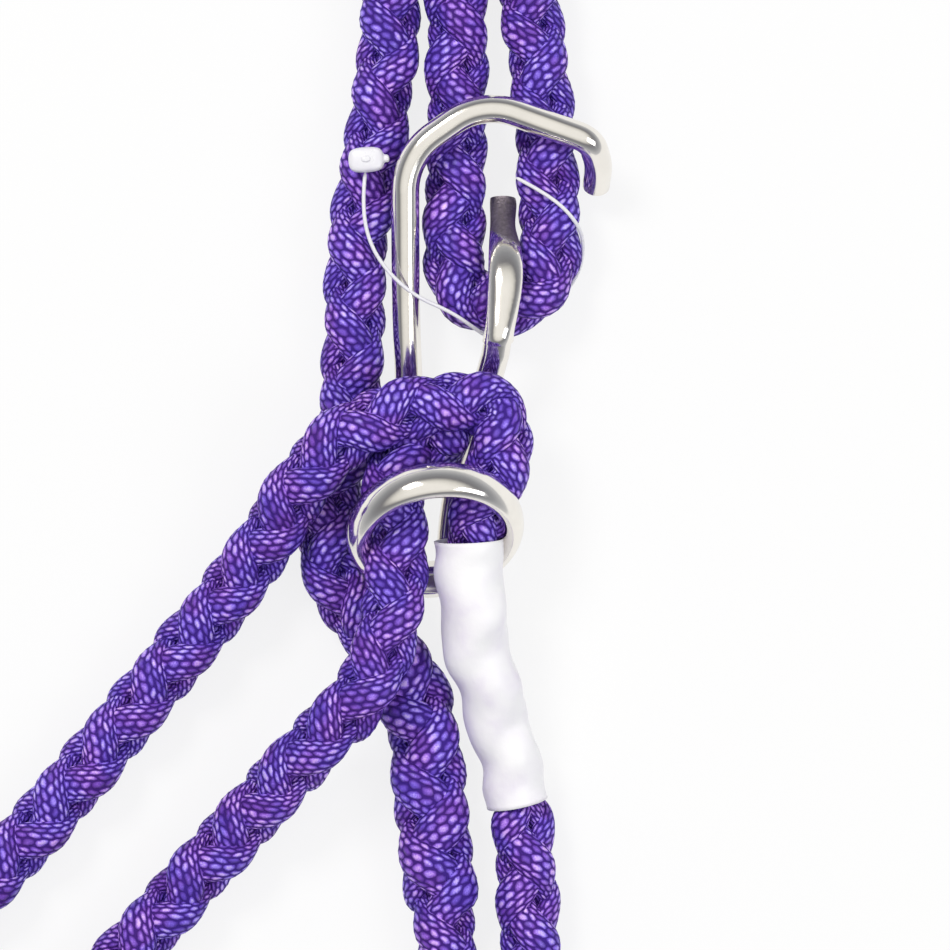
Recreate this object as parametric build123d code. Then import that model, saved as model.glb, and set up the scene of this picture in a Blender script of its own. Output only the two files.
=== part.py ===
from build123d import *
import math
import os

# Plaited rope head halter laid flat, near side uppermost, all sizes in mm.
# X runs across the head, +Y towards the poll and +Z up from the surface that it lies on.

# Driving dimensions
ROPE_D = 12.7
ROPE_R = ROPE_D / 2
LIE_Z = 6.8                     # height of the axis of a rope that lies on the surface
LOOP_Z = 7.6                    # the crown loop lies on the tag filament
ROD_D = 5.5
RING_R = 14.8                   # centreline radius of the slide ring
RING_TILT = 50.0                # how far it stands up on the two ropes, degrees
RING_TURN = 9.0                 # how far the ring has turned to the left, degrees
DEE_BAR_D = 6.0
DEE_HALF_WIDTH = 15.5
DEE_SIDE = 16.0
LEAD_TURN = 10.15               # radius of the lead rope round the bar of the dee
SLEEVE_WALL = 0.45
FILAMENT_D = 0.7
KNOT_PITCH = 13.0
ORIGIN = Vector(108.32, -2.52, 0)  # from the hook's own frame to the middle of the whole halter

# Places that several pieces share, in the hook's own frame
WRAP_PLACE = (-25.3, 7.0)       # where the nose rope crosses over the crown rope
OFF_X = (-211.0, -224.0)        # inner and outer rope in the off-side knot
OFF_Z = LIE_Z + ROPE_D + 0.1
EYE_TOP = 140.0                 # where the legs of the crown loop are seized
LOOP_SLACK = 4.0                # how far the crown loop slides each way on the tongue
DEE_PLACE = (4.0, -290.0, LIE_Z + LEAD_TURN)
SLEEVE_BENDS = [
    (-0.8, -9.4, OFF_Z - 0.2),
    (0.6, -27.0, OFF_Z - 1.8),
    (8.0, -55.0, LIE_Z + 1.0),
    (9.8, -70.0, LIE_Z),
]
SLEEVE_BEND_R = 45.0
SLEEVE_MIDDLE = (4.3, -41.0, (SLEEVE_BENDS[1][2] + SLEEVE_BENDS[2][2]) / 2)


def corner_radius(before, corner, after):
    """Largest fair arc at a corner: 0.45 of its shorter run over the tangent of half its turn."""
    run_in = Vector(corner) - Vector(before)
    run_out = Vector(after) - Vector(corner)
    turn = math.radians(run_in.get_angle(run_out))
    return 0.45 * min(run_in.length, run_out.length) / math.tan(turn / 2)


def route(points, tight=None):
    """Straight runs joined by tangent arcs; tight gives the arc at a corner that goes round something."""
    radii = []
    for index in range(1, len(points) - 1):
        fair = corner_radius(points[index - 1], points[index], points[index + 1])
        radii.append((tight or {}).get(index, fair))
    return FilletPolyline(*[Vector(p) for p in points], radius=radii), radii


def tube(name, points, diameter, tight=None):
    """A round rope or rod along a route, with its radii and volume printed."""
    path, radii = route(points, tight)
    section = Plane(origin=path @ 0, z_dir=path % 0) * Circle(diameter / 2)
    solid = sweep(section, path=path)
    expected = math.pi * diameter ** 2 / 4 * path.length
    listed = ", ".join(f"{r:.0f}" for r in radii)
    print(f"{name}: length {path.length:.0f}, volume {solid.volume / expected:.4f} of section x length")
    print(f"    radii {listed}")
    return solid


def crown_rope():
    """The fixed rope over the poll, from the near knot to the off-side knot."""
    points = [
        (*WRAP_PLACE, LIE_Z),
        (-23.4, 24.0, LIE_Z),
        (-24.2, 44.0, LIE_Z),
        (-20.6, 68.0, LIE_Z),
        (-17.6, 94.0, LIE_Z),
        (-18.6, 122.0, LIE_Z),
        (-21.0, 154.0, LIE_Z),
        (-26.0, 198.0, LIE_Z),
        (-40.0, 248.0, LIE_Z),
        (-74.0, 288.0, LIE_Z),
        (-118.0, 302.0, LIE_Z),
        (-162.0, 288.0, LIE_Z),
        (-194.0, 248.0, LIE_Z),
        (-209.0, 196.0, LIE_Z),
        (-213.5, 142.0, LIE_Z),
        (-213.5, 92.0, LIE_Z + 1.0),
        (-211.5, 48.0, OFF_Z - 2.0),
        (OFF_X[0], 24.0, OFF_Z),
        (OFF_X[0], 0.0, OFF_Z - 0.01),
    ]
    return tube("crown_rope", points, ROPE_D)


def crown_tail():
    """The rope of the closing side, from the off-side knot over the poll to the crown loop."""
    points = [
        (-4.4, EYE_TOP + LOOP_SLACK + 0.6, LOOP_Z),
        (-4.6, 168.0, LOOP_Z),
        (-8.0, 208.0, LOOP_Z - 0.4),
        (-24.0, 262.0, LIE_Z),
        (-62.0, 307.0, LIE_Z),
        (-117.0, 324.0, LIE_Z),
        (-172.0, 306.0, LIE_Z),
        (-211.0, 260.0, LIE_Z),
        (-227.0, 204.0, LIE_Z),
        (-230.0, 148.0, LIE_Z),
        (-229.0, 94.0, LIE_Z + 1.0),
        (-225.0, 48.0, OFF_Z - 2.0),
        (OFF_X[1], 24.0, OFF_Z),
        (OFF_X[1], 0.0, OFF_Z - 0.01),
    ]
    return tube("crown_tail", points, ROPE_D)


def crown_loop():
    """The eye at the end of the closing rope, passed through the hook and held on its tongue."""
    points = [
        (-4.4, EYE_TOP, LOOP_Z),
        (-4.4, 110.0, LOOP_Z + 0.01),
        (-3.2, 84.0, LOOP_Z),
        (-3.6, 60.0, LOOP_Z),
        (-4.9, 32.6, LOOP_Z),
        (15.0, 34.0, LOOP_Z),
        (14.6, 56.0, LOOP_Z),
        (13.2, 76.0, LOOP_Z),
        (9.4, 102.0, LOOP_Z),
        (8.6, 130.0, LOOP_Z),
        (8.7, 158.0, LOOP_Z),
    ]
    return tube("crown_loop", points, ROPE_D, tight={4: 9.4, 5: 9.4})


def crown_seizing():
    """Whipping twine round both legs of the crown loop, in close turns."""
    turn_d = 1.1
    turns = 16
    half_gap = 6.5
    middle_x = 2.1
    ring = None
    lane = SlotCenterToCenter(2 * half_gap, ROPE_D + 2 * turn_d)
    hole = SlotCenterToCenter(2 * half_gap, ROPE_D + 0.02)
    for index in range(turns):
        turn = extrude(lane - hole, amount=turn_d * 0.98)
        turn = Plane.XZ.offset(index * turn_d - EYE_TOP + 1.0) * turn
        ring = turn if ring is None else ring + turn
    return Pos(middle_x, 0, LOOP_Z) * ring


def nose_rope():
    """Noseband over the nose, crossed over the crown rope, arched over the hook and down to the sleeve."""
    points = [
        (OFF_X[0], 0.0, OFF_Z - 0.01),
        (OFF_X[0], -24.0, OFF_Z),
        (-209.0, -48.0, OFF_Z - 3.0),
        (-199.0, -82.0, LIE_Z),
        (-177.0, -107.0, LIE_Z),
        (-147.0, -116.0, LIE_Z),
        (-118.0, -103.0, LIE_Z),
        (-91.0, -75.0, LIE_Z),
        (-63.0, -41.5, LIE_Z),
        (-43.5, -17.5, LIE_Z + 2.5),
        (-30.5, 4.0, OFF_Z + 0.8),
        (-18.0, 12.4, OFF_Z + 0.8),
        (5.6, 15.4, OFF_Z),
        (5.2, 1.2, OFF_Z - 0.2),
        *SLEEVE_BENDS[:2],
        SLEEVE_MIDDLE,
    ]
    return tube("nose_rope", points, ROPE_D, tight={12: 8.2, 15: SLEEVE_BEND_R})


def jaw_rope():
    """Rope under the jaw, over the lead rope and up through the slide ring to the knot."""
    points = [
        (OFF_X[1], 0.0, OFF_Z - 0.01),
        (OFF_X[1], -26.0, OFF_Z),
        (-224.0, -56.0, OFF_Z - 4.0),
        (-217.0, -96.0, LIE_Z),
        (-194.0, -131.0, LIE_Z),
        (-158.0, -150.0, LIE_Z),
        (-121.0, -144.0, LIE_Z),
        (-90.0, -120.0, LIE_Z),
        (-64.0, -89.0, LIE_Z),
        (-45.0, -67.5, LIE_Z + 1.5),
        (-31.0, -52.0, OFF_Z - 2.0),
        (-20.4, -41.6, OFF_Z + 1.0),
        (-15.4, -27.0, OFF_Z + 1.0),
        (-14.8, -11.0, OFF_Z - 0.8),
        (-16.2, 3.8, OFF_Z - 4.0),
    ]
    return tube("jaw_rope", points, ROPE_D)


def lead_rope():
    """The loop that carries the lead: from the sleeve round the bar of the dee and up to the knot."""
    dee_x, dee_y, dee_z = DEE_PLACE
    over = dee_z + LEAD_TURN
    under = dee_z - LEAD_TURN
    beyond = dee_y - LEAD_TURN
    points = [
        SLEEVE_MIDDLE,
        *SLEEVE_BENDS[2:],
        (10.9, -94.0, LIE_Z),
        (13.4, -130.0, LIE_Z),
        (15.0, -176.0, LIE_Z),
        (13.0, -214.0, LIE_Z + 1.5),
        (8.5, -246.0, LIE_Z + 12.0),
        (dee_x + 0.6, -272.0, over),
        (dee_x, beyond, over),
        (dee_x, beyond, under),
        (dee_x - 0.6, -272.0, under),
        (-2.0, -246.0, LIE_Z),
        (-6.6, -210.0, LIE_Z),
        (-7.6, -168.0, LIE_Z),
        (-5.2, -128.0, LIE_Z),
        (-5.0, -96.0, LIE_Z),
        (-8.6, -68.0, LIE_Z),
        (-9.8, -50.0, LIE_Z),
        (-15.0, -36.0, LIE_Z),
        (-25.0, -26.5, LIE_Z),
        (-29.8, -14.0, LIE_Z),
        (-28.8, -2.0, LIE_Z),
        (*WRAP_PLACE, LIE_Z),
    ]
    return tube("lead_rope", points, ROPE_D, tight={1: SLEEVE_BEND_R, 9: LEAD_TURN - 0.05, 10: LEAD_TURN - 0.05})


def label_sleeve():
    """White shrink sleeve over the joint of the nose rope and the lead rope."""
    bends = [Vector(p) for p in SLEEVE_BENDS]
    top = bends[1] + (bends[0] - bends[1]) * 0.8
    foot = bends[2] + (bends[3] - bends[2]) * 0.5
    path, _ = route([top, bends[1], bends[2], foot], tight={1: SLEEVE_BEND_R, 2: SLEEVE_BEND_R})
    start = Plane(origin=path @ 0, z_dir=path % 0)
    wall = start * (Circle(ROPE_R + SLEEVE_WALL) - Circle(ROPE_R + 0.02))
    return sweep(wall, path=path)


def off_knot():
    """Three turns of rope round the inner and outer ropes of the off side."""
    half_gap = abs(OFF_X[0] - OFF_X[1]) / 2
    bend = ROPE_D + 0.15
    middle = Vector((OFF_X[0] + OFF_X[1]) / 2, 0, OFF_Z)
    turns = []
    for index in (-1, 0, 1):
        side = revolve(Pos(bend, 0, 0) * Plane.XZ * Circle(ROPE_R), Axis.Z, 180)
        flat = Pos(0, bend, 0) * Rot(0, 90, 0) * Cylinder(ROPE_R, 2 * half_gap)
        half = Pos(half_gap, 0, 0) * Rot(0, 0, -90) * side
        turn = half + Rot(0, 0, 180) * half + flat + Rot(0, 0, 180) * flat
        turns.append(Pos(*middle) * Pos(0, index * KNOT_PITCH, 0) * Rot(90, 0, 0) * turn)
    return Compound(children=turns)


def hook_frame():
    """One forged rod: open end, top bar, long side, hairpin foot and shank, drawn out to a flat tongue."""
    rod_z = ROD_D / 2 + 0.2
    bar_z = LOOP_Z + ROPE_R + ROD_D / 2 + 0.35
    tongue_z = LOOP_Z + ROPE_R + 2.4
    points = [
        (23.9, 57.2, 5.4),
        (24.3, 60.8, 10.6),
        (22.6, 65.0, bar_z),
        (1.5, 72.6, bar_z),
        (-13.6, 62.0, bar_z),
        (-13.6, 32.0, 8.6),
        (-12.8, 12.0, rod_z + 0.8),
        (-13.2, -21.6, rod_z),
        (-5.2, -21.6, rod_z),
        (-4.4, -6.0, rod_z + 0.4),
        (1.0, 13.0, rod_z + 5.2),
        (4.0, 23.6, tongue_z - 1.2),
        (4.6, 27.4, tongue_z + 0.8),
    ]
    rod = tube("hook_frame", points, ROD_D, tight={2: 4.2, 3: 13.0, 4: 13.0, 7: 3.8, 8: 3.8, 11: 6.0})
    stations = [
        (4.45, 26.2, tongue_z + 0.2, 3.1, 3.0, 26),
        (5.2, 31.0, tongue_z + 1.2, 3.1, 2.4, 4),
        (5.8, 36.0, tongue_z + 0.8, 3.4, 2.0, -6),
        (6.0, 40.8, tongue_z - 0.3, 3.4, 1.7, -22),
        (5.8, 44.6, tongue_z - 2.8, 3.1, 1.6, -44),
        (5.5, 47.8, tongue_z - 6.4, 2.6, 1.6, -50),
        (5.5, 50.8, tongue_z - 9.6, 2.5, 1.5, -40),
        (5.5, 54.6, tongue_z - 12.0, 2.5, 1.4, -20),
    ]
    sections = []
    for x, y, z, half_width, half_thick, climb in stations:
        ahead = Vector(0, math.cos(math.radians(climb)), math.sin(math.radians(climb)))
        sections.append(Plane(origin=(x, y, z), x_dir=(1, 0, 0), z_dir=ahead) * Ellipse(half_width, half_thick))
    return rod + loft(sections)


def slide_ring():
    """Flattened ring that holds the two ropes of the near side together below the knot."""
    centre = (-7.7, -10.6, 19.8)
    ring = revolve(Pos(RING_R, 0, 0) * Plane.XZ * Ellipse(2.5, 3.9), Axis.Z, 360)
    return Pos(*centre) * Rot(0, 0, RING_TURN) * Rot(RING_TILT, 0, 0) * ring


def lead_dee():
    """Dee that the lead snaps to; its straight bar lies in the bend of the lead rope."""
    reach = DEE_SIDE + DEE_HALF_WIDTH
    drop = math.degrees(math.asin((DEE_PLACE[2] - DEE_BAR_D / 2) / reach))
    w = DEE_HALF_WIDTH
    points = [Vector(0, 0, 0), Vector(w, 0, 0), Vector(w, -reach, 0), Vector(0, -reach - 0.001, 0)]
    half = FilletPolyline(*points, radius=[3.4, w - 0.05])
    section = Plane(origin=half @ 0, z_dir=half % 0) * Circle(DEE_BAR_D / 2)
    right = sweep(section, path=half)
    ring = right + mirror(right, about=Plane.YZ)
    return Pos(*DEE_PLACE) * Rot(drop, 0, 0) * ring


def tag_lock():
    """Moulded head of the plastic tag fastener, lying on the crown rope."""
    head = Box(7.0, 4.6, 2.6)
    head = fillet(head.edges(), 1.0)
    nub = Pos(3.6, -0.2, 0) * Rot(0, 90, 0) * Cylinder(0.8, 2.0)
    return Pos(-21.4, 61.4, LIE_Z + ROPE_R + 2.0) * Rot(0, 0, 4) * (head + nub)


def tag_filament():
    """Nylon filament of the tag fastener, round the crown loop."""
    top = LOOP_Z + ROPE_R + 0.7
    points = [
        (-21.4, 59.0, top - 0.6),
        (-22.2, 51.5, top),
        (-19.6, 42.5, top),
        (-12.6, 35.2, top + 0.3),
        (-4.6, 31.8, top + 0.2),
        (0.6, 28.2, top - 2.2),
        (3.6, 24.9, 8.2),
        (8.0, 24.6, 1.0),
        (14.5, 28.0, 0.6),
        (22.2, 38.0, 1.2),
        (22.8, 45.6, 7.8),
        (20.2, 50.6, top),
        (14.8, 54.4, top + 0.2),
        (8.0, 58.0, top - 0.6),
    ]
    return tube("tag_filament", points, FILAMENT_D)


PIECES = {
    "crown_rope": crown_rope,
    "crown_tail": crown_tail,
    "crown_loop": crown_loop,
    "crown_seizing": crown_seizing,
    "nose_rope": nose_rope,
    "jaw_rope": jaw_rope,
    "lead_rope": lead_rope,
    "label_sleeve": label_sleeve,
    "off_knot": off_knot,
    "hook_frame": hook_frame,
    "slide_ring": slide_ring,
    "lead_dee": lead_dee,
    "tag_lock": tag_lock,
    "tag_filament": tag_filament,
}

os.makedirs("parts", exist_ok=True)
for node, make in PIECES.items():
    export_step(Pos(*ORIGIN) * make(), f"parts/{node}.step")
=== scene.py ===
import math

import bmesh
import bpy
import numpy as np
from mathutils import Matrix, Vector


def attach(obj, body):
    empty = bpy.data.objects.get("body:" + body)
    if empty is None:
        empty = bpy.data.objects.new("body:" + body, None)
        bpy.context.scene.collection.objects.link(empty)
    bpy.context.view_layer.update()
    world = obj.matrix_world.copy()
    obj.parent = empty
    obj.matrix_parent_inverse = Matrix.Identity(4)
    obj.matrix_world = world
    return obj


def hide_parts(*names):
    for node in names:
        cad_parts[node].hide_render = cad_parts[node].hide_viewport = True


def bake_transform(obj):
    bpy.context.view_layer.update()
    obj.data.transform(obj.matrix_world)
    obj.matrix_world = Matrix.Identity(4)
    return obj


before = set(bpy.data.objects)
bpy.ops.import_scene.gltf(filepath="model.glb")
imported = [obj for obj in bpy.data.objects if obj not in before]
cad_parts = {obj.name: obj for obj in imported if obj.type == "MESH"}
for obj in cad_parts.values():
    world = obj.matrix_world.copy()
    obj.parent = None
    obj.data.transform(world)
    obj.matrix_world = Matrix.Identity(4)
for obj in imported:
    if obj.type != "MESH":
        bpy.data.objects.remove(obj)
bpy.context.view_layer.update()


# The room that the halter lies in: a pale table top, a long lens straight above the hook
# and soft lamps. Nothing here belongs to the halter.

class Shade:
    """One socket of a material, on which sums are written as plain arithmetic."""

    def __init__(self, tree, socket=None):
        self.tree = tree
        self.socket = socket

    def node(self, kind, settings=None, inputs=None, output=0):
        """Adds any node: its settings first, then the values or links of its sockets."""
        made = self.tree.nodes.new(kind)
        for name, value in (settings or {}).items():
            if name == "stops":
                band = made.color_ramp
                while len(band.elements) < len(value):
                    band.elements.new(1.0)
                for stop, (place, colour) in zip(band.elements, value):
                    stop.position = place
                    stop.color = (*colour, 1.0)
            else:
                setattr(made, name, value)
        for name, value in (inputs or {}).items():
            if isinstance(value, Shade):
                self.tree.links.new(value.socket, made.inputs[name])
            else:
                made.inputs[name].default_value = value
        return Shade(self.tree, made.outputs[output])

    def maths(self, operation, *terms):
        return self.node("ShaderNodeMath", {"operation": operation}, dict(enumerate(terms)))

    def mix(self, factor, first, second):
        """A colour between two colours."""
        ends = {0: factor, 6: first, 7: second}
        return self.node("ShaderNodeMix", {"data_type": "RGBA"}, ends, output=2)

    def __add__(self, other):
        return self.maths("ADD", self, other)

    def __radd__(self, other):
        return self.maths("ADD", other, self)

    def __sub__(self, other):
        return self.maths("SUBTRACT", self, other)

    def __rsub__(self, other):
        return self.maths("SUBTRACT", other, self)

    def __mul__(self, other):
        return self.maths("MULTIPLY", self, other)

    def __rmul__(self, other):
        return self.maths("MULTIPLY", other, self)

    def __truediv__(self, other):
        return self.maths("DIVIDE", self, other)


def new_material(name):
    """An empty material: its first Shade, and its output node."""
    material = bpy.data.materials.new(name)
    material.use_nodes = True
    tree = material.node_tree
    tree.nodes.clear()
    return material, Shade(tree), tree.nodes.new("ShaderNodeOutputMaterial")


def finish_material(shade, output, surface):
    shade.tree.links.new(surface.socket, output.inputs["Surface"])


EYE = (0.10832, -0.00252)
EYE_HEIGHT = 0.75
EYE_SPAN = 0.1863
ROPE_MID_Z = 0.010
SENSOR = 36.0
TABLE_SIZE = 12.0
TABLE_GLOW = 0.82

camera_data = bpy.data.cameras.new("camera")
camera_data.sensor_width = SENSOR
camera_data.lens = SENSOR * (EYE_HEIGHT - ROPE_MID_Z) / EYE_SPAN
camera = bpy.data.objects.new("camera", camera_data)
camera.location = (*EYE, EYE_HEIGHT)
bpy.context.scene.collection.objects.link(camera)
bpy.context.scene.camera = camera
bpy.context.scene.view_settings.view_transform = "Standard"

bpy.ops.object.select_all(action="DESELECT")
bpy.ops.mesh.primitive_plane_add(size=TABLE_SIZE, location=(0.0, 0.0, 0.0))
table_top = bpy.context.object
table_top.name = "table_top"
paper, shade, output = new_material("table_paper")
seen = shade.node("ShaderNodeLightPath", output="Is Camera Ray")
seen = seen.maths("MAXIMUM", seen, shade.node("ShaderNodeLightPath", output="Is Glossy Ray"))
seen = seen.maths("MAXIMUM", seen, shade.node("ShaderNodeLightPath", output="Is Transmission Ray"))
matt = shade.node("ShaderNodeBsdfDiffuse", inputs={"Color": (0.88, 0.88, 0.88, 1.0)})
glow = shade.node("ShaderNodeEmission", inputs={"Color": (1.0, 1.0, 1.0, 1.0), "Strength": 1.0})
lit = shade.node("ShaderNodeMixShader", inputs={0: seen * TABLE_GLOW, 1: matt, 2: glow})
finish_material(shade, output, lit)
table_top.data.materials.append(paper)

world = bpy.data.worlds.new("room")
bpy.context.scene.world = world
world.use_nodes = True
world.node_tree.nodes.clear()
room = Shade(world.node_tree)
height = room.node("ShaderNodeTexCoord", output="Generated")
height = room.node("ShaderNodeSeparateXYZ", inputs={0: height}, output=2)
walls = room.node("ShaderNodeValToRGB", {"stops": [
    (0.00, (0.60, 0.61, 0.64)),
    (0.35, (0.30, 0.31, 0.34)),
    (0.60, (0.20, 0.20, 0.22)),
    (0.78, (0.76, 0.75, 0.72)),
    (0.93, (0.95, 0.94, 0.92)),
]}, {0: height})
air = room.node("ShaderNodeBackground", inputs={"Color": walls, "Strength": 1.0})
finish_material(room, world.node_tree.nodes.new("ShaderNodeOutputWorld"), air)


def soft_lamp(name, place, aim, size, watts, colour):
    """A square soft box that isn't seen itself."""
    data = bpy.data.lights.new(name, "AREA")
    data.size = size
    data.energy = watts
    data.color = colour
    lamp = bpy.data.objects.new(name, data)
    lamp.location = place
    lamp.rotation_euler = (Vector(aim) - Vector(place)).to_track_quat("-Z", "Y").to_euler()
    lamp.visible_camera = False
    bpy.context.scene.collection.objects.link(lamp)


soft_lamp("key_lamp", (-0.45, 0.70, 1.10), (*EYE, 0.0), 0.40, 9.0, (1.0, 0.98, 0.95))
soft_lamp("fill_lamp", (0.95, -0.30, 0.90), (*EYE, 0.0), 0.60, 4.2, (0.95, 0.97, 1.0))


# The lead rope: shiny nylon, four strands plaited round. It starts inside the sleeve, turns round
# the bar of the dee and comes back up to the crown rope, its end tucked into the standing part.

PLAIT_LAY = 0.030
FLOAT_LENGTH = 0.0018
FLOAT_ACROSS = 4.4
FLOAT_ALONG = 3.7
FLOAT_CROWN = 0.72
YARN_ROWS = 17
STRAND_REACH = 0.00325
STRAND_DIP = 0.00080
STRAND_HALF_WIDTH = 0.00365
STRAND_HALF_THICK = 0.00235
STRAND_SIDES = 18
STRAND_END = (0.55, 0.8, 0.93)
CORE_RADIUS = 0.0024
RESTS_AT = 0.0001


def smooth_line(name, points, step=0.0008):
    """Evenly spaced points along the NURBS whose control points these are, and its length."""
    data = bpy.data.curves.new(name, "CURVE")
    data.dimensions = "3D"
    data.resolution_u = 32
    spline = data.splines.new("NURBS")
    spline.points.add(len(points) - 1)
    for knot, place in zip(spline.points, points):
        knot.co = (*place, 1.0)
    spline.use_endpoint_u = True
    spline.order_u = 3
    curve = bpy.data.objects.new(name, data)
    bpy.context.scene.collection.objects.link(curve)
    mesh = bpy.data.meshes.new_from_object(curve)
    line = np.array([v.co for v in mesh.vertices])
    bpy.data.objects.remove(curve)
    bpy.data.curves.remove(data)
    bpy.data.meshes.remove(mesh)
    run = np.concatenate([[0.0], np.cumsum(np.linalg.norm(np.diff(line, axis=0), axis=1))])
    even = np.linspace(0.0, run[-1], int(run[-1] / step) + 1)
    line = np.stack([np.interp(even, run, line[:, axis]) for axis in range(3)], axis=1)
    for _ in range(3):
        line[1:-1] = (line[:-2] + 2.0 * line[1:-1] + line[2:]) / 4.0
    return line, run[-1]


def unit(vectors):
    return vectors / np.linalg.norm(vectors, axis=1)[:, None]


def carried_frames(line):
    """Directions ahead, up and aside along a line, carried on without twist."""
    ahead = unit(np.gradient(line, axis=0))
    up = np.array((0.0, 0.0, 1.0))
    ups = []
    for direction in ahead:
        up = up - direction * direction.dot(up)
        up = up / np.linalg.norm(up)
        ups.append(up)
    ups = np.array(ups)
    return ahead, ups, np.cross(ahead, ups)


def skin(rings, rows):
    """Points, faces and corner places of a closed tube through rings that turn left-handed."""
    count, around = rings.shape[:2]
    points = np.concatenate([rings.reshape(-1, 3), [rings[0].mean(0)], [rings[-1].mean(0)]])
    run = np.concatenate([[0.0], np.cumsum(np.linalg.norm(np.diff(rings.mean(1), axis=0), axis=1))])
    faces = []
    corners = []
    for i in range(count - 1):
        for j in range(around):
            k = (j + 1) % around
            faces.append((i * around + j, (i + 1) * around + j, (i + 1) * around + k, i * around + k))
            low, high = j * rows / around, (j + 1) * rows / around
            corners += [(run[i], low), (run[i + 1], low), (run[i + 1], high), (run[i], high)]
    for j in range(around):
        k = (j + 1) % around
        last = (count - 1) * around
        faces.append((count * around, j, k))
        faces.append((count * around + 1, last + k, last + j))
        corners += [(run[0], 0.0)] * 3 + [(run[-1], 0.0)] * 3
    return points, faces, corners


def mesh_piece(name, skins, material):
    """One object from several skins, with their corner places kept in the UV map lay."""
    points = []
    faces = []
    corners = []
    for more_points, more_faces, more_corners in skins:
        base = sum(len(p) for p in points)
        points.append(more_points)
        faces += [tuple(base + corner for corner in face) for face in more_faces]
        corners += more_corners
    points = np.concatenate(points)
    points[:, 2] = np.maximum(points[:, 2], RESTS_AT)
    mesh = bpy.data.meshes.new(name)
    mesh.from_pydata(points.tolist(), [], faces)
    layer = mesh.uv_layers.new(name="lay")
    layer.data.foreach_set("uv", np.array(corners, dtype=np.float32).ravel())
    mesh.polygons.foreach_set("use_smooth", [True] * len(mesh.polygons))
    mesh.update()
    piece = bpy.data.objects.new(name, mesh)
    bpy.context.scene.collection.objects.link(piece)
    mesh.materials.append(material)
    return piece


def bowed(number, power):
    """A sine or cosine raised to a power with its sign kept, which squares an oval off a little."""
    return math.copysign(abs(number) ** power, number)


def plait_skins(line, turn=0.0, shift=0.0, swell=None):
    """Four fat strands round a line, two each way, each over one strand and under the next."""
    _, up, aside = carried_frames(line)
    run = np.linspace(0.0, 1.0, len(line)) * np.linalg.norm(np.diff(line, axis=0), axis=1).sum()
    swell = np.ones(len(line)) if swell is None else swell
    twist = 0.25 * np.sin(run * 31.0 + 4.0 * shift)
    beat = 2.0 * math.pi * (run / PLAIT_LAY + shift)
    skins = []
    for number, (hand, half_turn) in enumerate(((1, 0.0), (1, math.pi), (-1, 0.0), (-1, math.pi))):
        wander = np.sin(run * 137.0 + 1.7 * number + 9.0 * shift)
        wander = wander + np.sin(run * 263.0 + 2.9 * number + 5.0 * turn)
        angle = hand * beat + half_turn + turn + twist + 0.07 * wander
        rise = hand * np.cos(2.0 * beat) + 0.12 * wander
        radial = np.cos(angle)[:, None] * up + np.sin(angle)[:, None] * aside
        centre = line + ((STRAND_REACH + STRAND_DIP * rise) * swell)[:, None] * radial
        ahead = unit(np.gradient(centre, axis=0))
        radial = unit(radial - ahead * (ahead * radial).sum(1)[:, None])
        across = np.cross(ahead, radial)
        rings = []
        for j in range(STRAND_SIDES):
            a = 2.0 * math.pi * j / STRAND_SIDES
            wide = bowed(math.cos(a), 0.85) * STRAND_HALF_WIDTH * swell * (1.0 + 0.06 * rise)
            thick = bowed(math.sin(a), 0.92) * STRAND_HALF_THICK * swell * (1.0 + 0.08 * rise)
            rings.append(centre + wide[:, None] * across + thick[:, None] * radial)
        rings = np.stack(rings, axis=1)
        for k, share in enumerate(STRAND_END):
            for end in (k, -1 - k):
                middle = rings[end].mean(0)
                rings[end] = middle + (rings[end] - middle) * share
        skins.append(skin(rings, YARN_ROWS))
    rings = []
    for j in range(STRAND_SIDES):
        a = -2.0 * math.pi * j / STRAND_SIDES
        rings.append(line + (CORE_RADIUS * swell)[:, None] * (math.cos(a) * up + math.sin(a) * aside))
    skins.append(skin(np.stack(rings, axis=1)[4:-4], YARN_ROWS))
    return skins


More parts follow.
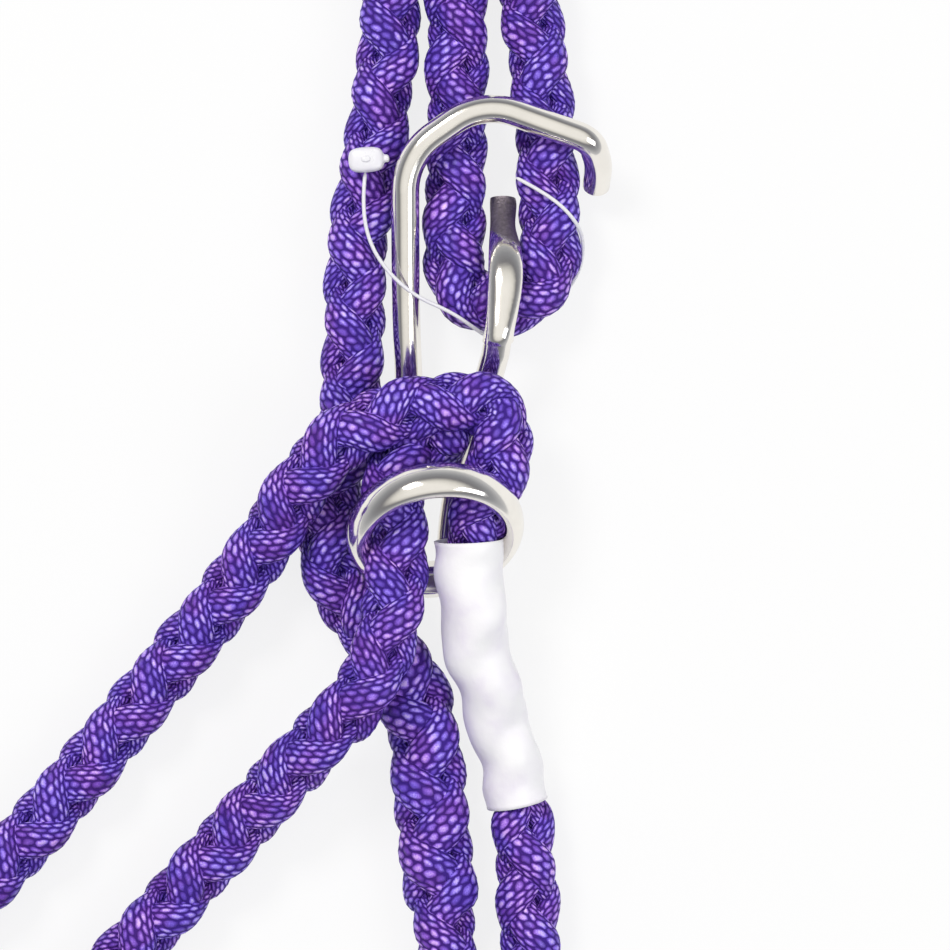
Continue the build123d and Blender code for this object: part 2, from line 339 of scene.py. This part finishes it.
def rope_material():
    """Solution-dyed violet nylon: rows of short yarn floats, painted lighter on their crowns as
    highlight and darker in the gaps between them as shade.
    """
    material, shade, output = new_material("violet_nylon_rope")
    place = shade.node("ShaderNodeUVMap", {"uv_map": "lay"})
    body = shade.node("ShaderNodeTexCoord", output="Object")
    stray = shade.node("ShaderNodeTexNoise", inputs={"Vector": body, "Scale": 520.0, "Detail": 1.0})
    cloud = shade.node("ShaderNodeTexNoise", inputs={"Vector": body, "Scale": 130.0, "Detail": 3.0})
    fine = shade.node("ShaderNodeTexNoise", inputs={"Vector": body, "Scale": 3200.0, "Detail": 1.0})
    along = shade.node("ShaderNodeSeparateXYZ", inputs={0: place}, output=0)
    row = shade.node("ShaderNodeSeparateXYZ", inputs={0: place}, output=1) + (stray - 0.5) * 0.55
    lane = row.maths("FLOOR", row)
    odd = lane.maths("MODULO", lane, 2.0)
    step = along / FLOAT_LENGTH + odd * 0.5 + (cloud - 0.5) * 1.1
    turn = step.maths("FLOOR", step)
    across = row - lane - 0.5
    ahead = step - turn - 0.5
    across = across + ahead * (odd * 0.4 - 0.2)
    reach = across * across * FLOAT_ACROSS + ahead * ahead * FLOAT_ALONG
    height = reach.maths("MAXIMUM", 1.0 - reach, 0.0)
    crown = height.maths("POWER", height, FLOAT_CROWN)
    cell = shade.node("ShaderNodeCombineXYZ", inputs={0: turn, 1: lane, 2: 0.0})
    chance = shade.node("ShaderNodeTexWhiteNoise", {"noise_dimensions": "2D"}, {"Vector": cell})
    # The colour paints a highlight on each float's crown and shade in the gaps between floats; chance
    # and fine add a random tone from float to float.
    painted_light_and_tone = crown * (0.40 + chance * 0.62) * (0.62 + fine * 0.90)
    blue = shade.node("ShaderNodeValToRGB", {"stops": [
        (0.00, (0.045, 0.016, 0.240)),
        (0.25, (0.090, 0.038, 0.400)),
        (0.50, (0.170, 0.090, 0.640)),
        (0.75, (0.340, 0.230, 0.960)),
        (1.00, (0.620, 0.500, 1.000)),
    ]}, {0: painted_light_and_tone})
    pink = shade.node("ShaderNodeValToRGB", {"stops": [
        (0.00, (0.055, 0.014, 0.200)),
        (0.25, (0.120, 0.036, 0.350)),
        (0.50, (0.230, 0.086, 0.580)),
        (0.75, (0.450, 0.220, 0.880)),
        (1.00, (0.760, 0.470, 1.000)),
    ]}, {0: painted_light_and_tone})
    side = shade.node("ShaderNodeValToRGB", {"stops": [
        (0.42, (0.0, 0.0, 0.0)),
        (0.60, (1.0, 1.0, 1.0)),
    ]}, {0: cloud})
    bump = shade.node("ShaderNodeBump", inputs={
        "Strength": 0.9,
        "Distance": 0.0005,
        "Height": crown + fine * 0.10,
    })
    surface = shade.node("ShaderNodeBsdfPrincipled", inputs={
        "Base Color": shade.mix(side, blue, pink),
        "Roughness": 0.70 - crown * 0.30,
        "Specular IOR Level": 0.22,
        "Specular Tint": (0.80, 0.66, 1.0, 1.0),
        "Coat Weight": crown * crown * 0.55,
        "Coat Roughness": 0.28,
        "Coat Tint": (0.92, 0.86, 1.0, 1.0),
        "Normal": bump,
    })
    finish_material(shade, output, surface)
    return material


violet_rope = rope_material()


def rope(name, points, turn, shift, swell=None):
    """A plaited rope along a route, in place of the CAD node of that name, as thick as swell says."""
    line, _ = smooth_line(name, points)
    skins = plait_skins(line, turn, shift, swell and swell(line))
    piece = mesh_piece(name + "_plait", skins, violet_rope)
    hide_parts(name)
    return piece


LEAD_ROUTE = [
    (0.11172, -0.04552, 0.01200),
    (0.11432, -0.05500, 0.00900),
    (0.11672, -0.06500, 0.00690),
    (0.11812, -0.07652, 0.00680),
    (0.11922, -0.09652, 0.00680),
    (0.12172, -0.13252, 0.00680),
    (0.12332, -0.17852, 0.00680),
    (0.12132, -0.21652, 0.00830),
    (0.11682, -0.24852, 0.01880),
    (0.11292, -0.27452, 0.02710),
    (0.11232, -0.30267, 0.02710),
    (0.11232, -0.30267, 0.00680),
    (0.11172, -0.27452, 0.00680),
    (0.10632, -0.24852, 0.00680),
    (0.10172, -0.21252, 0.00680),
    (0.10072, -0.17052, 0.00680),
    (0.10312, -0.13052, 0.00680),
    (0.10332, -0.09852, 0.00680),
    (0.09972, -0.07052, 0.00680),
    (0.09852, -0.05252, 0.00680),
    (0.09332, -0.03852, 0.00680),
    (0.08332, -0.02902, 0.00680),
    (0.07852, -0.01652, 0.00680),
    (0.07952, -0.00452, 0.00680),
    (0.08302, 0.00448, 0.00680),
]
lead_line, lead_length = smooth_line("lead_rope", LEAD_ROUTE)
SLEEVE_SQUEEZE = 0.31
SLEEVE_FOOT = -0.0700
SLEEVE_EASE = 0.004
SPLICE_SWELL = 0.20
SPLICE_FROM = -0.0865
SPLICE_FROM_EASE = 0.002
SPLICE_TO = -0.0430
SPLICE_TO_EASE = 0.012


def ramp(values, low, high):
    """0 below low, 1 above high, and even between them."""
    return np.clip((values - low) / (high - low), 0.0, 1.0)


returning = np.arange(len(lead_line)) > len(lead_line) * 0.5
spliced = returning * ramp(lead_line[:, 1], SPLICE_FROM, SPLICE_FROM + SPLICE_FROM_EASE)
spliced = spliced * (1.0 - ramp(lead_line[:, 1], SPLICE_TO, SPLICE_TO + SPLICE_TO_EASE))
sleeved = (1.0 - returning) * ramp(lead_line[:, 1], SLEEVE_FOOT, SLEEVE_FOOT + SLEEVE_EASE)
lead_swell = 1.0 + SPLICE_SWELL * spliced - SLEEVE_SQUEEZE * sleeved
lead_skins = plait_skins(lead_line, 0.8, 0.1, lead_swell)
lead_rope = mesh_piece("lead_rope_plait", lead_skins, violet_rope)
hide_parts("lead_rope")
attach(lead_rope, "halter")


# The crown rope: the fixed side of the headpiece, one length of the same plait from under the
# nose rope's wrap, over the poll and down to the off-side knot.

crown_rope = rope("crown_rope", [
    (0.08302, 0.00448, 0.00680),
    (0.08492, 0.02148, 0.00680),
    (0.08452, 0.04148, 0.00680),
    (0.08902, 0.06548, 0.00680),
    (0.09252, 0.09148, 0.00680),
    (0.08952, 0.11948, 0.00680),
    (0.08762, 0.15148, 0.00680),
    (0.08232, 0.19548, 0.00680),
    (0.06832, 0.24548, 0.00680),
    (0.03432, 0.28548, 0.00680),
    (-0.00968, 0.29948, 0.00680),
    (-0.05368, 0.28548, 0.00680),
    (-0.08568, 0.24548, 0.00680),
    (-0.10068, 0.19348, 0.00680),
    (-0.10518, 0.13948, 0.00680),
    (-0.10518, 0.08948, 0.00780),
    (-0.10318, 0.04548, 0.01760),
    (-0.10268, 0.02148, 0.01960),
    (-0.10268, -0.00252, 0.01959),
], turn=0.8, shift=0.0)
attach(crown_rope, "halter")


# The nose rope: out of the off-side knot, round under the jaw, up over the hook's shank and
# down through the slide ring into the sleeve.

def squeezed_in_sleeve(line):
    """Full size along the noseband, and drawn in where the rope runs down inside the sleeve."""
    near_side = ramp(line[:, 0], 0.095, 0.100)
    below_ring = ramp(-line[:, 1], 0.012, 0.017)
    return 1.0 - SLEEVE_SQUEEZE * near_side * below_ring


nose_rope = rope("nose_rope", [
    (-0.10268, -0.00252, 0.01959),
    (-0.10268, -0.02652, 0.01960),
    (-0.10068, -0.05052, 0.01660),
    (-0.09068, -0.08452, 0.00680),
    (-0.06868, -0.10952, 0.00680),
    (-0.03868, -0.11852, 0.00680),
    (-0.00968, -0.10552, 0.00680),
    (0.01732, -0.07752, 0.00680),
    (0.04532, -0.04402, 0.00680),
    (0.06482, -0.02002, 0.00930),
    (0.07782, 0.00148, 0.02040),
    (0.09032, 0.00988, 0.02040),
    (0.11392, 0.01288, 0.01960),
    (0.11352, -0.00132, 0.01940),
    (0.10752, -0.01192, 0.01940),
    (0.10752, -0.02352, 0.01870),
    (0.10832, -0.03352, 0.01640),
    (0.11172, -0.04552, 0.01200),
], turn=0.6, shift=0.0, swell=squeezed_in_sleeve)
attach(nose_rope, "halter")


# The jaw rope: the other rope of the off-side knot. It runs beside the nose rope, rises through
# the slide ring and ends tucked under the nose rope's arch.

jaw_rope = rope("jaw_rope", [
    (-0.11568, -0.00252, 0.01959),
    (-0.11568, -0.02852, 0.01960),
    (-0.11568, -0.05852, 0.01560),
    (-0.10868, -0.09852, 0.00680),
    (-0.08568, -0.13352, 0.00680),
    (-0.04968, -0.15252, 0.00680),
    (-0.01268, -0.14652, 0.00680),
    (0.01832, -0.12252, 0.00680),
    (0.04432, -0.09152, 0.00680),
    (0.06332, -0.07002, 0.00830),
    (0.07732, -0.05452, 0.01760),
    (0.08792, -0.04412, 0.02060),
    (0.09292, -0.02952, 0.02060),
    (0.09352, -0.01352, 0.01880),
    (0.09182, -0.00252, 0.01780),
    (0.09482, 0.00498, 0.01480),
    (0.10552, 0.00508, 0.01400),
], turn=0.8, shift=0.0)
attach(jaw_rope, "halter")


# The crown loop: the eye at the end of the closing rope. It has come down through the hook's
# frame and is held on the tongue, and its own end is heat-sealed to a point above the seizing.

SEALED_TAPER = 0.55
SEALED_FROM = 0.1505
SEALED_TO = 0.1555


def sealed_end(line):
    """Full size round the eye, and drawn to a point at the heat-sealed end."""
    return 1.0 - SEALED_TAPER * ramp(line[:, 1], SEALED_FROM, SEALED_TO) ** 2


crown_loop = rope("crown_loop", [
    (0.10392, 0.13748, 0.00760),
    (0.10392, 0.10748, 0.00761),
    (0.10512, 0.08148, 0.00760),
    (0.10472, 0.05748, 0.00760),
    (0.10342, 0.03008, 0.00760),
    (0.12332, 0.03148, 0.00760),
    (0.12292, 0.05348, 0.00760),
    (0.12152, 0.07348, 0.00760),
    (0.11772, 0.09948, 0.00760),
    (0.11692, 0.12748, 0.00760),
    (0.11702, 0.15548, 0.00760),
], turn=0.8, shift=0.0, swell=sealed_end)
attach(crown_loop, "crown_eye")


# The crown tail: the rest of the closing rope.

crown_tail = rope("crown_tail", [
    (0.10392, 0.13300, 0.00760),
    (0.10372, 0.16548, 0.00760),
    (0.10032, 0.20548, 0.00720),
    (0.08432, 0.25948, 0.00680),
    (0.04632, 0.30448, 0.00680),
    (-0.00868, 0.32148, 0.00680),
    (-0.06368, 0.30348, 0.00680),
    (-0.10268, 0.25748, 0.00680),
    (-0.11868, 0.20148, 0.00680),
    (-0.12168, 0.14548, 0.00680),
    (-0.12068, 0.09148, 0.00780),
    (-0.11668, 0.04548, 0.01760),
    (-0.11568, 0.02148, 0.01960),
    (-0.11568, -0.00252, 0.01959),
], turn=0.8, shift=0.0)
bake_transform(crown_tail)


# The seizing of the crown loop: sixteen close turns of waxed two-ply twine round both legs, drawn
# tight and buried at both ends.

LEGS_HALF_GAP = 0.0065
COIL_START = -1.5708
TWINE_REACH = 0.0070
TWINE_TURNS = 16
TWINE_PITCH = 0.00112
TWINE_RADIUS = 0.00056
TWINE_SIDES = 8
PLIES_PER_METRE = 620.0


def stadium_coil(middle, half_gap, radius, turns, pitch, start_angle):
    """Control points of a coil round two parallel ropes that lie along Y."""
    points = []
    around = 12
    for index in range(turns * around + 1):
        angle = start_angle + 2.0 * math.pi * index / around
        reach = radius / math.cos(math.pi / around)
        lean = math.cos(angle)
        side = 0.0 if abs(lean) < 0.01 else math.copysign(half_gap, lean)
        points.append((
            middle[0] + side + reach * lean,
            middle[1] + (index / around - turns / 2.0) * pitch,
            middle[2] + reach * math.sin(angle),
        ))
    return points


def cord_skin(line, radius, around, lay):
    """One plain round skin along a line, with its rows turned by its lay."""
    _, up, aside = carried_frames(line)
    rings = []
    for j in range(around):
        angle = -2.0 * math.pi * j / around
        rings.append(line + radius * (math.cos(angle) * up + math.sin(angle) * aside))
    rings = np.stack(rings, axis=1)
    for end, share in ((0, 0.5), (1, 0.85), (-2, 0.85), (-1, 0.5)):
        middle = rings[end].mean(0)
        rings[end] = middle + (rings[end] - middle) * share
    return skin(rings, lay)


def twine_material():
    """Waxed violet twine, its two plies showing as slanting bands, painted dark in the grooves between
    them as shade and light on their crowns as highlight.
    """
    material, shade, output = new_material("violet_twine")
    place = shade.node("ShaderNodeUVMap", {"uv_map": "lay"})
    along = shade.node("ShaderNodeSeparateXYZ", inputs={0: place}, output=0)
    around = shade.node("ShaderNodeSeparateXYZ", inputs={0: place}, output=1)
    ply = shade.maths("FRACT", along * PLIES_PER_METRE + around)
    ply = ply.maths("SINE", ply * math.pi)
    body = shade.node("ShaderNodeTexCoord", output="Object")
    wax = shade.node("ShaderNodeTexNoise", inputs={"Vector": body, "Scale": 900.0, "Detail": 2.0})
    # The ramp paints shade into the grooves between the plies and a highlight on their crowns; wax adds
    # a random tone.
    colour = shade.node("ShaderNodeValToRGB", {"stops": [
        (0.00, (0.012, 0.004, 0.080)),
        (0.60, (0.070, 0.026, 0.300)),
        (1.00, (0.200, 0.110, 0.620)),
    ]}, {0: ply * (0.7 + wax * 0.5)})
    bump = shade.node("ShaderNodeBump", inputs={"Strength": 0.8, "Distance": 0.0002, "Height": ply})
    surface = shade.node("ShaderNodeBsdfPrincipled", inputs={
        "Base Color": colour,
        "Roughness": 0.5 + wax * 0.15,
        "Specular IOR Level": 0.3,
        "Normal": bump,
    })
    finish_material(shade, output, surface)
    return material


SEIZING_MIDDLE = (0.11042, 0.12768, 0.00760)
twine_line, _ = smooth_line("seizing_line", stadium_coil(
    SEIZING_MIDDLE, LEGS_HALF_GAP, TWINE_REACH, TWINE_TURNS, TWINE_PITCH, COIL_START))
twine_skin = cord_skin(twine_line, TWINE_RADIUS, TWINE_SIDES, 1.0)
crown_seizing = mesh_piece("crown_seizing_twine", [twine_skin], twine_material())
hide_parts("crown_seizing")
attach(crown_seizing, "crown_eye")


# The off-side knot: the noseband's end wrapped three times round both ropes of the off side, drawn
# down hard and tucked underneath.

KNOT_MIDDLE = (-0.10918, -0.00252, 0.01960)
KNOT_REACH = 0.01285
KNOT_TURNS = 3
KNOT_PITCH = 0.0130
knot_route = stadium_coil(KNOT_MIDDLE, LEGS_HALF_GAP, KNOT_REACH, KNOT_TURNS, KNOT_PITCH, COIL_START)
off_knot = rope("off_knot", knot_route, turn=0.8, shift=0.3)
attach(off_knot, "halter")


# The sleeve: a white heat-shrink film over the joint of the nose rope and the lead rope. It has
# drawn down on the plait, whose strands show through it as soft waves. It carries no print.

OVER_WAVE = 0.00042
SIDE_WAVE = 0.00036
FINE_WAVE = 0.00014
MOUTH_CURL = 0.00018
MOUTH_EASE = 0.004
FILM_WALL = 0.0003


def film_shell(line, radius, wall, around=48):
    """A thin closed tube over a plait: outer skin out, inner skin back, open at both mouths."""
    _, up, aside = carried_frames(line)
    run = np.linspace(0.0, 1.0, len(line)) * np.linalg.norm(np.diff(line, axis=0), axis=1).sum()
    outer = []
    inner = []
    mouth = np.minimum(run, run[-1] - run)
    curl = MOUTH_CURL * np.exp(-mouth / 0.0010)
    for j in range(around):
        angle = -2.0 * math.pi * j / around
        radial = math.cos(angle) * up + math.sin(angle) * aside
        wave = OVER_WAVE * np.cos(2.0 * angle + 1.2) * np.cos(2.0 * math.pi * run / 0.0152 + 0.6)
        wave += SIDE_WAVE * np.cos(angle + 0.9) * np.sin(2.0 * math.pi * run / 0.0161 + 2.2)
        wave += FINE_WAVE * np.cos(3.0 * angle - 2.0 * math.pi * run / 0.0091)
        reach = radius + wave * ramp(mouth, 0.0, MOUTH_EASE) + curl
        outer.append(line + reach[:, None] * radial)
        inner.append(line + (reach - wall)[:, None] * radial)
    rings = np.concatenate([np.stack(outer, axis=1), np.stack(inner, axis=1)[::-1]])
    count = len(rings)
    points = rings.reshape(-1, 3)
    place = np.concatenate([run, run[::-1]])
    faces = []
    corners = []
    for i in range(count):
        n = (i + 1) % count
        for j in range(around):
            k = (j + 1) % around
            faces.append((i * around + j, n * around + j, n * around + k, i * around + k))
            low, high = j / around, (j + 1) / around
            corners += [(place[i], low), (place[n], low), (place[n], high), (place[i], high)]
    return points, faces, corners


def film_material():
    """White polyolefin film: lilac patches set at random, partly the rope showing through and partly
    painted shade, with fine crinkles.
    """
    material, shade, output = new_material("white_shrink_film")
    body = shade.node("ShaderNodeTexCoord", output="Object")
    patch = shade.node("ShaderNodeTexNoise", inputs={"Vector": body, "Scale": 130.0, "Detail": 2.0})
    crinkle = shade.node("ShaderNodeTexNoise", inputs={"Vector": body, "Scale": 520.0, "Detail": 3.0})
    # The lilac patches are painted in at random: partly the rope showing through the film, partly
    # painted shade.
    tint = shade.node("ShaderNodeValToRGB", {"stops": [
        (0.35, (0.955, 0.950, 0.960)),
        (0.55, (0.925, 0.905, 0.945)),
        (0.75, (0.820, 0.770, 0.880)),
    ]}, {0: patch})
    bump = shade.node("ShaderNodeBump", inputs={
        "Strength": 0.25,
        "Distance": 0.0004,
        "Height": crinkle + patch * 2.0,
    })
    surface = shade.node("ShaderNodeBsdfPrincipled", inputs={
        "Base Color": tint,
        "Roughness": 0.34 + crinkle * 0.16,
        "Specular IOR Level": 0.4,
        "Normal": bump,
    })
    finish_material(shade, output, surface)
    return material


sleeve_line, _ = smooth_line("sleeve_line", [
    (0.10712, -0.01512, 0.01930),
    (0.10752, -0.02452, 0.01860),
    (0.10812, -0.03452, 0.01630),
    (0.11012, -0.04102, 0.01380),
    (0.11192, -0.04702, 0.01150),
    (0.11292, -0.05202, 0.00970),
    (0.11512, -0.05752, 0.00820),
    (0.11572, -0.06252, 0.00740),
    (0.11665, -0.06710, 0.00695),
])
SLEEVE_PLACES = [0.0, 0.35, 0.6, 1.0]
SLEEVE_RADII = [0.0066, 0.0064, 0.0061, 0.0059]
sleeve_radius = np.interp(np.linspace(0.0, 1.0, len(sleeve_line)), SLEEVE_PLACES, SLEEVE_RADII)
sleeve_film = film_shell(sleeve_line, sleeve_radius, FILM_WALL)
label_sleeve = mesh_piece("label_sleeve_film", [sleeve_film], film_material())
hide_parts("label_sleeve")
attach(label_sleeve, "halter")


# The hook's frame, the slide ring and the dee: steel rod bent cold, plated and tumbled bright. The
# hook's tongue is drawn out flat; its cut tip is left rough, and painted dark as shade and dark
# reflection.

TIP_HALF_WIDTH = 0.0050
TIP_LENGTH = 0.0120
TIP_EDGE = 1400.0


def steel_material(name, tip=None):
    """Bright plated steel with faint draw marks; tip is the x and lowest y of a rough end painted dark
    as shade and dark reflection.
    """
    material, shade, output = new_material(name)
    body = shade.node("ShaderNodeTexCoord", output="Object")
    wear = shade.node("ShaderNodeTexNoise", inputs={"Vector": body, "Scale": 220.0, "Detail": 4.0})
    bright = shade.mix(wear, (0.93, 0.90, 0.84, 1.0), (0.80, 0.77, 0.72, 1.0))
    rough = 0.07 + wear * 0.10
    height = wear * 0.3
    if tip:
        across = shade.node("ShaderNodeSeparateXYZ", inputs={0: body}, output=0) - tip[0]
        along = shade.node("ShaderNodeSeparateXYZ", inputs={0: body}, output=1) - tip[1]
        grit = shade.node("ShaderNodeTexNoise", inputs={"Vector": body, "Scale": 1500.0, "Detail": 5.0})
        # At the tongue's tip the steel is made rougher and bumpier, and its colour is painted dark
        # there as shade and dark reflection.
        edge = along + across * 0.5 + (grit - 0.5) * 0.0016
        near = across.maths("LESS_THAN", across.maths("ABSOLUTE", across), TIP_HALF_WIDTH)
        short = along.maths("LESS_THAN", along, TIP_LENGTH)
        tip_roughness_and_painted_shade = edge * TIP_EDGE
        tip_roughness_and_painted_shade = tip_roughness_and_painted_shade.maths("MINIMUM", tip_roughness_and_painted_shade.maths("MAXIMUM", tip_roughness_and_painted_shade, 0.0), 1.0) * near * short
        dark = shade.mix(grit, (0.150, 0.125, 0.140, 1.0), (0.460, 0.410, 0.430, 1.0))
        bright = shade.mix(tip_roughness_and_painted_shade, bright, dark)
        rough = rough + tip_roughness_and_painted_shade * 0.42
        height = height + tip_roughness_and_painted_shade * grit * 2.2
    bump = shade.node("ShaderNodeBump", inputs={
        "Strength": 0.25,
        "Distance": 0.0003,
        "Height": height,
    })
    surface = shade.node("ShaderNodeBsdfPrincipled", inputs={
        "Base Color": bright,
        "Metallic": 1.0,
        "Roughness": rough,
        "Normal": bump,
    })
    finish_material(shade, output, surface)
    return material


TONGUE_TIP = (0.11380, 0.04360)
polished_steel = steel_material("polished_steel")
hook_steel = steel_material("polished_hook_steel", TONGUE_TIP)
steel_nodes = {"hook_frame": hook_steel, "slide_ring": polished_steel, "lead_dee": polished_steel}
for node, steel in steel_nodes.items():
    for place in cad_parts[node].material_slots:
        place.material = steel


# The price-tag fastener left on the crown loop: a moulded nylon head on the crown rope, and its
# drawn filament looped under the crown loop and back.

LOCK_PLACE = (0.08712, 0.05888, 0.01515)
LOCK_SIZE = (0.0063, 0.0045, 0.0031)
LOCK_TURN = 4.0
FILAMENT_RADIUS = 0.00038
FILAMENT_SIDES = 8


def nylon_material():
    """Milky natural nylon."""
    material, shade, output = new_material("milky_nylon")
    body = shade.node("ShaderNodeTexCoord", output="Object")
    milk = shade.node("ShaderNodeTexNoise", inputs={"Vector": body, "Scale": 500.0, "Detail": 2.0})
    bump = shade.node("ShaderNodeBump", inputs={"Strength": 0.2, "Distance": 0.0003, "Height": milk})
    surface = shade.node("ShaderNodeBsdfPrincipled", inputs={
        "Base Color": shade.mix(milk, (0.96, 0.96, 0.98, 1.0), (0.86, 0.85, 0.92, 1.0)),
        "Roughness": 0.22 + milk * 0.15,
        "Transmission Weight": 0.08,
        "Normal": bump,
    })
    finish_material(shade, output, surface)
    return material


milky_nylon = nylon_material()
bpy.ops.object.select_all(action="DESELECT")
bpy.ops.mesh.primitive_cube_add(size=1.0, location=(0.0, 0.0, 0.0))
tag_lock = bpy.context.object
tag_lock.name = "tag_lock_moulding"
bpy.ops.object.mode_set(mode="EDIT")
bpy.ops.mesh.subdivide(number_cuts=2)
bpy.ops.transform.tosphere(value=0.5)
bpy.ops.transform.resize(value=LOCK_SIZE)
bpy.ops.mesh.select_all(action="DESELECT")
lock_mesh = bmesh.from_edit_mesh(tag_lock.data)
for face in lock_mesh.faces:
    centre = face.calc_center_median()
    face.select = face.normal.x > 0.9 and abs(centre.y) < 0.0005 and abs(centre.z) < 0.0004
bmesh.update_edit_mesh(tag_lock.data)
bpy.ops.mesh.extrude_region_move(TRANSFORM_OT_translate={"value": (0.0004, 0.0, 0.0)})
bpy.ops.transform.resize(value=(1.0, 1.0, 1.4))
bpy.ops.mesh.extrude_region_move(TRANSFORM_OT_translate={"value": (0.0007, -0.0001, 0.0)})
bpy.ops.mesh.select_all(action="DESELECT")
for face in lock_mesh.faces:
    centre = face.calc_center_median()
    face.select = face.normal.z > 0.9 and abs(centre.x) < 0.0012 and abs(centre.y) < 0.0008
bmesh.update_edit_mesh(tag_lock.data)
bpy.ops.mesh.inset(thickness=0.0002, depth=0.0)
bpy.ops.mesh.extrude_region_move(TRANSFORM_OT_translate={"value": (0.0, 0.0, 0.0004)})
bpy.ops.object.mode_set(mode="OBJECT")
rounding = tag_lock.modifiers.new("rounding", "SUBSURF")
rounding.levels = 3
rounding.render_levels = 3
bpy.ops.object.modifier_apply(modifier="rounding")
tag_lock.rotation_euler = (0.0, 0.0, math.radians(LOCK_TURN))
tag_lock.location = LOCK_PLACE
bpy.ops.object.transform_apply(location=True, rotation=True, scale=True)
bpy.ops.object.shade_smooth()
tag_lock.data.materials.append(milky_nylon)
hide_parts("tag_lock")
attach(tag_lock, "crown_eye")

filament_line, _ = smooth_line("filament_line", [
    (0.08692, 0.05648, 0.01405),
    (0.08612, 0.04898, 0.01465),
    (0.08872, 0.03998, 0.01465),
    (0.09572, 0.03268, 0.01495),
    (0.10372, 0.02928, 0.01485),
    (0.10892, 0.02568, 0.01245),
    (0.11102, 0.02448, 0.00820),
    (0.11452, 0.02548, 0.00100),
    (0.12182, 0.02898, 0.00060),
    (0.12882, 0.03648, 0.00120),
    (0.12992, 0.04308, 0.00780),
    (0.12802, 0.04708, 0.01445),
    (0.12312, 0.05188, 0.01485),
    (0.11632, 0.05548, 0.01405),
], step=0.0005)
filament_skin = cord_skin(filament_line, FILAMENT_RADIUS, FILAMENT_SIDES, 1.0)
tag_filament = mesh_piece("tag_filament_strand", [filament_skin], milky_nylon)
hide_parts("tag_filament")
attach(tag_filament, "crown_eye")
